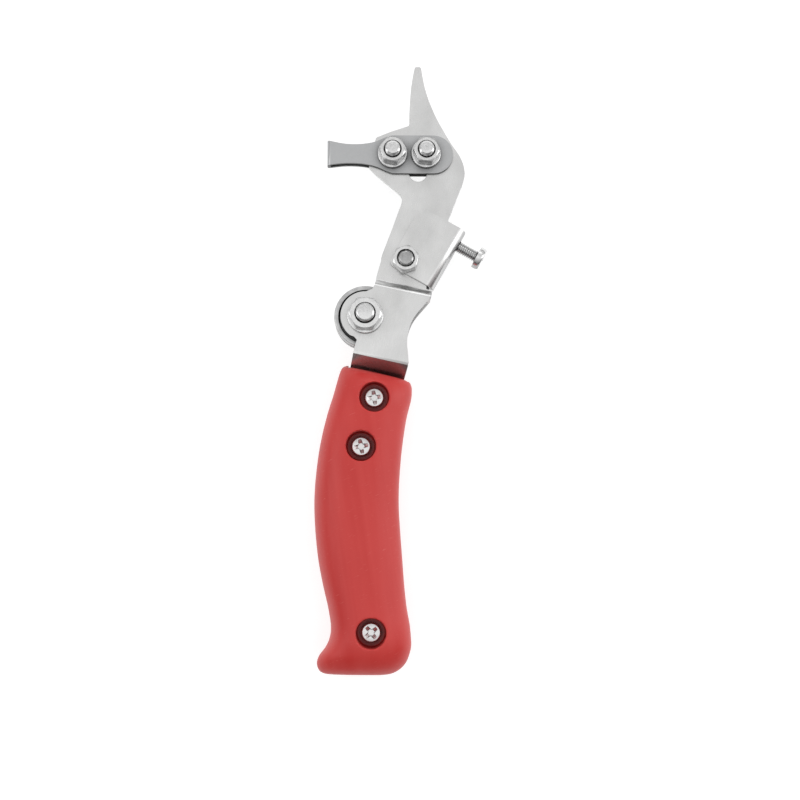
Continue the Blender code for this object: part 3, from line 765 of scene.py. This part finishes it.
def moulded_plastic():
    """Semi-matt red moulding: fine spark-eroded grain and paler scuffs."""
    look = Nodes("red_plastic_look", 0.0, IOR=1.49)
    grain = look.noise((2.4, 2.4, 2.4), 4.0, 0.6)
    cloud = look.noise((0.05, 0.04, 0.05), 2.0)
    scuff = look.noise((0.35, 2.4, 0.5), 5.0, 0.6, math.radians(-24.0))
    base = look.ramp(cloud, [(0.30, (0.560, 0.026, 0.022)), (0.70, (0.61, 0.034, 0.029))])
    # Painted sheen: paler streaks along the handle, placed by noise, stand in for soft reflection bands on its
    # crown.
    painted_sheen_bands = look.noise((0.16, 0.010, 0.10), 3.0, 0.55, math.radians(-8.0))
    base = look.blend(look.spread(painted_sheen_bands, 0.0, 0.45, 0.40, 0.65), base, (0.66, 0.062, 0.054))
    base = look.blend(look.spread(scuff, 0.0, 0.45, 0.62, 0.76), base, (0.72, 0.17, 0.15))
    # Painted shade: the screw recesses, the tang's mouth and other hollows are darkened.
    base = look.blend(look.painted_gap_shade(5.0, 0.15, 0.75), base, (0.16, 0.004, 0.004))
    look.colour(base)
    rough = look.spread(grain, 0.36, 0.50)
    look.roughness(look.add(rough, look.spread(scuff, 0.0, 0.12, 0.60, 0.75)))
    look.bump(grain, 0.16, 0.03)
    return look.material


def floor_look():
    """Matt paper, very slightly uneven."""
    look = Nodes("floor_look", 0.0, Roughness=0.9)
    cloud = look.noise((0.02, 0.02, 0.02), 2.0)
    look.colour(look.ramp(cloud, [(0.30, (0.46, 0.46, 0.46)), (0.70, (0.49, 0.49, 0.49))]))
    look.shader.inputs["Emission Color"].default_value = (1.0, 1.0, 1.0, 1.0)
    look.shader.inputs["Emission Strength"].default_value = 0.72
    return look.material


# ---------------------------------------------------------------- studio
def make_camera():
    """Pinhole in front of the tool, looking slightly up it, with +Y up in the picture."""
    data = bpy.data.cameras.new("camera")
    data.lens = LENS
    data.sensor_width = SENSOR
    data.clip_start, data.clip_end = 0.01, 10.0
    camera = bpy.data.objects.new("camera", data)
    bpy.context.scene.collection.objects.link(camera)
    at = Vector(CAMERA_AT) * MM
    back = (at - Vector(CAMERA_AIM) * MM).normalized()
    right = Vector((0.0, 1.0, 0.0)).cross(back).normalized()
    up = back.cross(right)
    camera.matrix_world = Matrix((
        (right.x, up.x, back.x, at.x),
        (right.y, up.y, back.y, at.y),
        (right.z, up.z, back.z, at.z),
        (0.0, 0.0, 0.0, 1.0),
    ))
    bpy.context.scene.camera = camera


def area_light(name, at, aim, size, power):
    data = bpy.data.lights.new(name, "AREA")
    data.shape = "RECTANGLE"
    data.size, data.size_y = size[0] * MM, size[1] * MM
    data.energy = power
    lamp = bpy.data.objects.new(name, data)
    bpy.context.scene.collection.objects.link(lamp)
    lamp.location = Vector(at) * MM
    look = Vector(aim) * MM - lamp.location
    lamp.rotation_euler = look.to_track_quat("-Z", "Y").to_euler()


def make_tent():
    """A light tent: bright overhead, dimmer round the horizon and darkest towards -Y.

    sweep follows the angle from -Y over the top to +Y, wall the height.
    """
    world = bpy.data.worlds.new("tent")
    bpy.context.scene.world = world
    world.use_nodes = True
    tree = world.node_tree
    link = tree.links.new
    way = tree.nodes.new("ShaderNodeTexCoord").outputs["Generated"]
    split = tree.nodes.new("ShaderNodeSeparateXYZ")
    link(way, split.inputs["Vector"])
    lean = tree.nodes.new("ShaderNodeMath")
    lean.operation = "ARCTAN2"
    link(split.outputs["Y"], lean.inputs[0])
    link(split.outputs["Z"], lean.inputs[1])
    across = scaled(tree, lean.outputs["Value"], -0.5 * math.pi, 0.5 * math.pi)
    sweep = grey_ramp(tree, across, [
        (0.0, 0.12), (0.17, 0.25), (0.34, 0.68), (0.46, 1.10), (0.525, 1.08),
        (0.56, 0.78), (0.62, 0.74), (0.72, 0.78), (0.86, 1.0), (1.0, 0.6),
    ])
    height = scaled(tree, split.outputs["Z"], 0.0, 1.0)
    wall = grey_ramp(tree, height, [(0.0, 0.42), (0.30, 0.65), (0.60, 1.0), (1.0, 1.0)])
    both = tree.nodes.new("ShaderNodeVectorMath")
    both.operation = "MULTIPLY"
    link(sweep, both.inputs[0])
    link(wall, both.inputs[1])
    background = tree.nodes["Background"]
    link(both.outputs["Vector"], background.inputs["Color"])
    background.inputs["Strength"].default_value = 1.0


def scaled(tree, value, low, high):
    made = tree.nodes.new("ShaderNodeMapRange")
    made.inputs["From Min"].default_value = low
    made.inputs["From Max"].default_value = high
    tree.links.new(value, made.inputs["Value"])
    return made.outputs["Result"]


def grey_ramp(tree, value, stops):
    made = tree.nodes.new("ShaderNodeValToRGB")
    line = made.color_ramp
    while len(line.elements) < len(stops):
        line.elements.new(0.5)
    for element, (position, level) in zip(line.elements, stops):
        element.position = position
        element.color = (level, level, level, 1.0)
    tree.links.new(value, made.inputs["Fac"])
    return made.outputs["Color"]


def make_floor():
    """Plain paper just under the tool, in metres."""
    reach, drop = 1.5, 0.0001
    made = bmesh.new()
    corners = ((-reach, -reach), (reach, -reach), (reach, reach), (-reach, reach))
    made.faces.new([made.verts.new((x, y, -drop)) for x, y in corners])
    mesh = bpy.data.meshes.new("floor")
    made.to_mesh(mesh)
    made.free()
    mesh.materials.append(floor_look())
    floor = bpy.data.objects.new("floor", mesh)
    bpy.context.scene.collection.objects.link(floor)


make_camera()
make_tent()
make_floor()
area_light("back_light", (40, 480, 380), (10, 60, 0), (500, 160), 0.25)
area_light("left_light", (-420, 60, 420), (10, 40, 0), (260, 500), 0.35)
area_light("right_light", (420, 80, 160), (20, 80, 10), (200, 500), 0.5)
bpy.context.scene.view_settings.view_transform = "Standard"

LOOKS = {
    "stainless_plate": sheet_steel(),
    "blade_steel": ground_steel(),
    "plated_hardware": plated_steel(),
    "dull_plate": plated_steel("dull_plate_look", 0.58),
    "roller_steel": turned_steel(),
    "red_plastic": moulded_plastic(),
}
add_plates(LOOKS)
add_fasteners(LOOKS)
add_adjusting_screw(LOOKS)
add_handle_screws(LOOKS)
add_roller(LOOKS)
add_handle(LOOKS)
